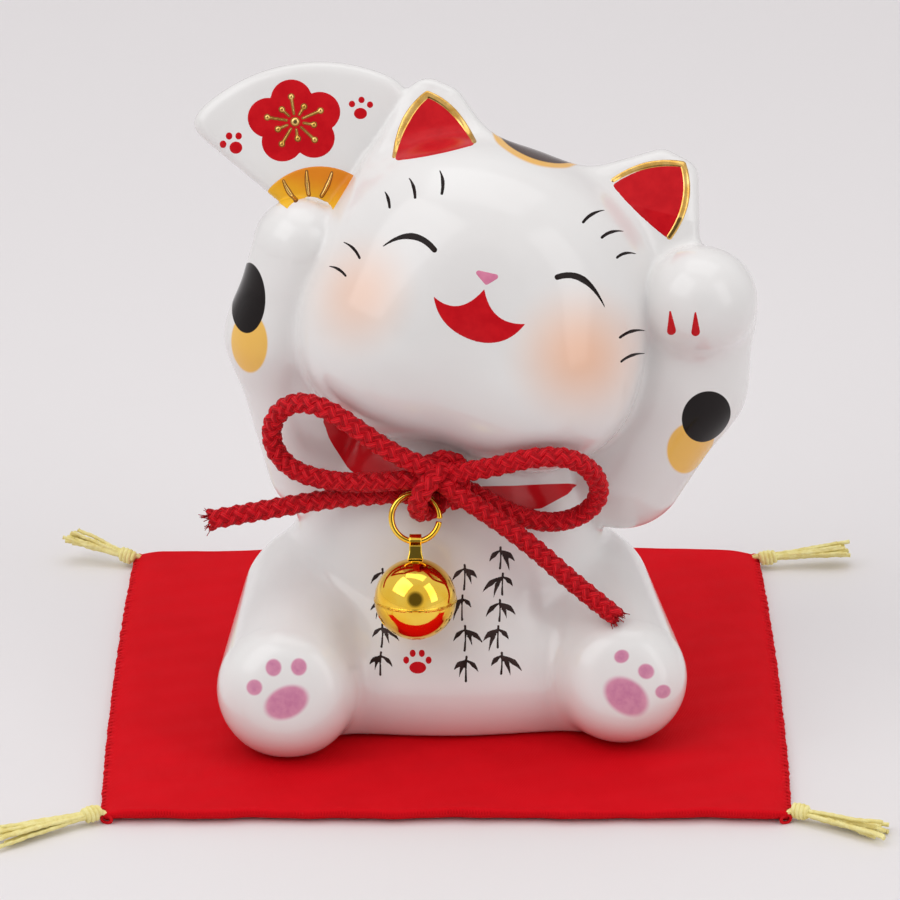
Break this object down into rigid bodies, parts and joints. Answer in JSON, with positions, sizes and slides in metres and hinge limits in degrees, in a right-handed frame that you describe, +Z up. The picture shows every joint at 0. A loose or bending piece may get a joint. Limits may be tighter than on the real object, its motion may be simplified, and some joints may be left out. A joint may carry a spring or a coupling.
{
  "type": "beckoning cat figurine",
  "caption": "Seated porcelain beckoning cat holding up an open fan, with a red cord bow and a hanging gold bell, on a red cloth mat with corner tassels.",
  "frame": {"origin": "middle of the mat's underside, on the surface that the mat lies on", "axes": "+Z up, +X to the viewer's right as the cat is faced, the cat faces -Y"},
  "size_m": [0.1324, 0.1066, 0.0972],
  "materials": {
    "glazed_porcelain": "glossy glaze, painted",
    "clear_glue": "set glue",
    "red_cord": "braided cord",
    "red_cloth": "fine woven cloth",
    "red_thread": "overlock thread",
    "white_wadding": "thin felt",
    "yellow_yarn": "loose yarn",
    "gold_plate": "bright gold plate",
    "steel": "plain"
  },
  "bodies": {
    "mat": {"mat_cover": "red_cloth", "mat_wadding": "white_wadding", "mat_edge_stitch_left": "red_thread", "mat_edge_stitch_right": "red_thread", "tassel_front_left": "yellow_yarn", "tassel_front_right": "yellow_yarn", "tassel_back_left": "yellow_yarn", "tassel_back_right": "yellow_yarn"},
    "cat": {"porcelain_cat": "glazed_porcelain", "glue_dab": "clear_glue", "bow_knot": "red_cord", "bow_left_loop": "red_cord", "bow_right_loop": "red_cord", "bow_left_tail": "red_cord", "bow_right_tail": "red_cord"},
    "ring": {"jump_ring": "gold_plate"},
    "bell": {"bell_upper_shell": "gold_plate", "bell_lower_shell": "gold_plate", "bell_hanger": "gold_plate"},
    "pea": {"bell_pea": "steel"}
  },
  "joints": [
    {"name": "cat_lift", "type": "slide", "parent": "mat", "child": "cat", "axis": [0, 0, 1], "range_m": [0, 0.05]},
    {"name": "ring_swing", "type": "hinge", "parent": "cat", "child": "ring", "pos_m": [-0.0045, -0.0207, 0.03853], "axis": [0, -0.9232, 0.3843], "range_deg": [-25, 25]},
    {"name": "bell_swing", "type": "hinge", "parent": "ring", "child": "bell", "pos_m": [-0.0045, -0.02264, 0.03387], "axis": [-1, 0, 0], "range_deg": [0, 65]},
    {"name": "pea_roll", "type": "hinge", "parent": "bell", "child": "pea", "pos_m": [-0.0045, -0.02587, 0.02611], "axis": [1, 0, 0], "range_deg": [-60, 60]}
  ]
}
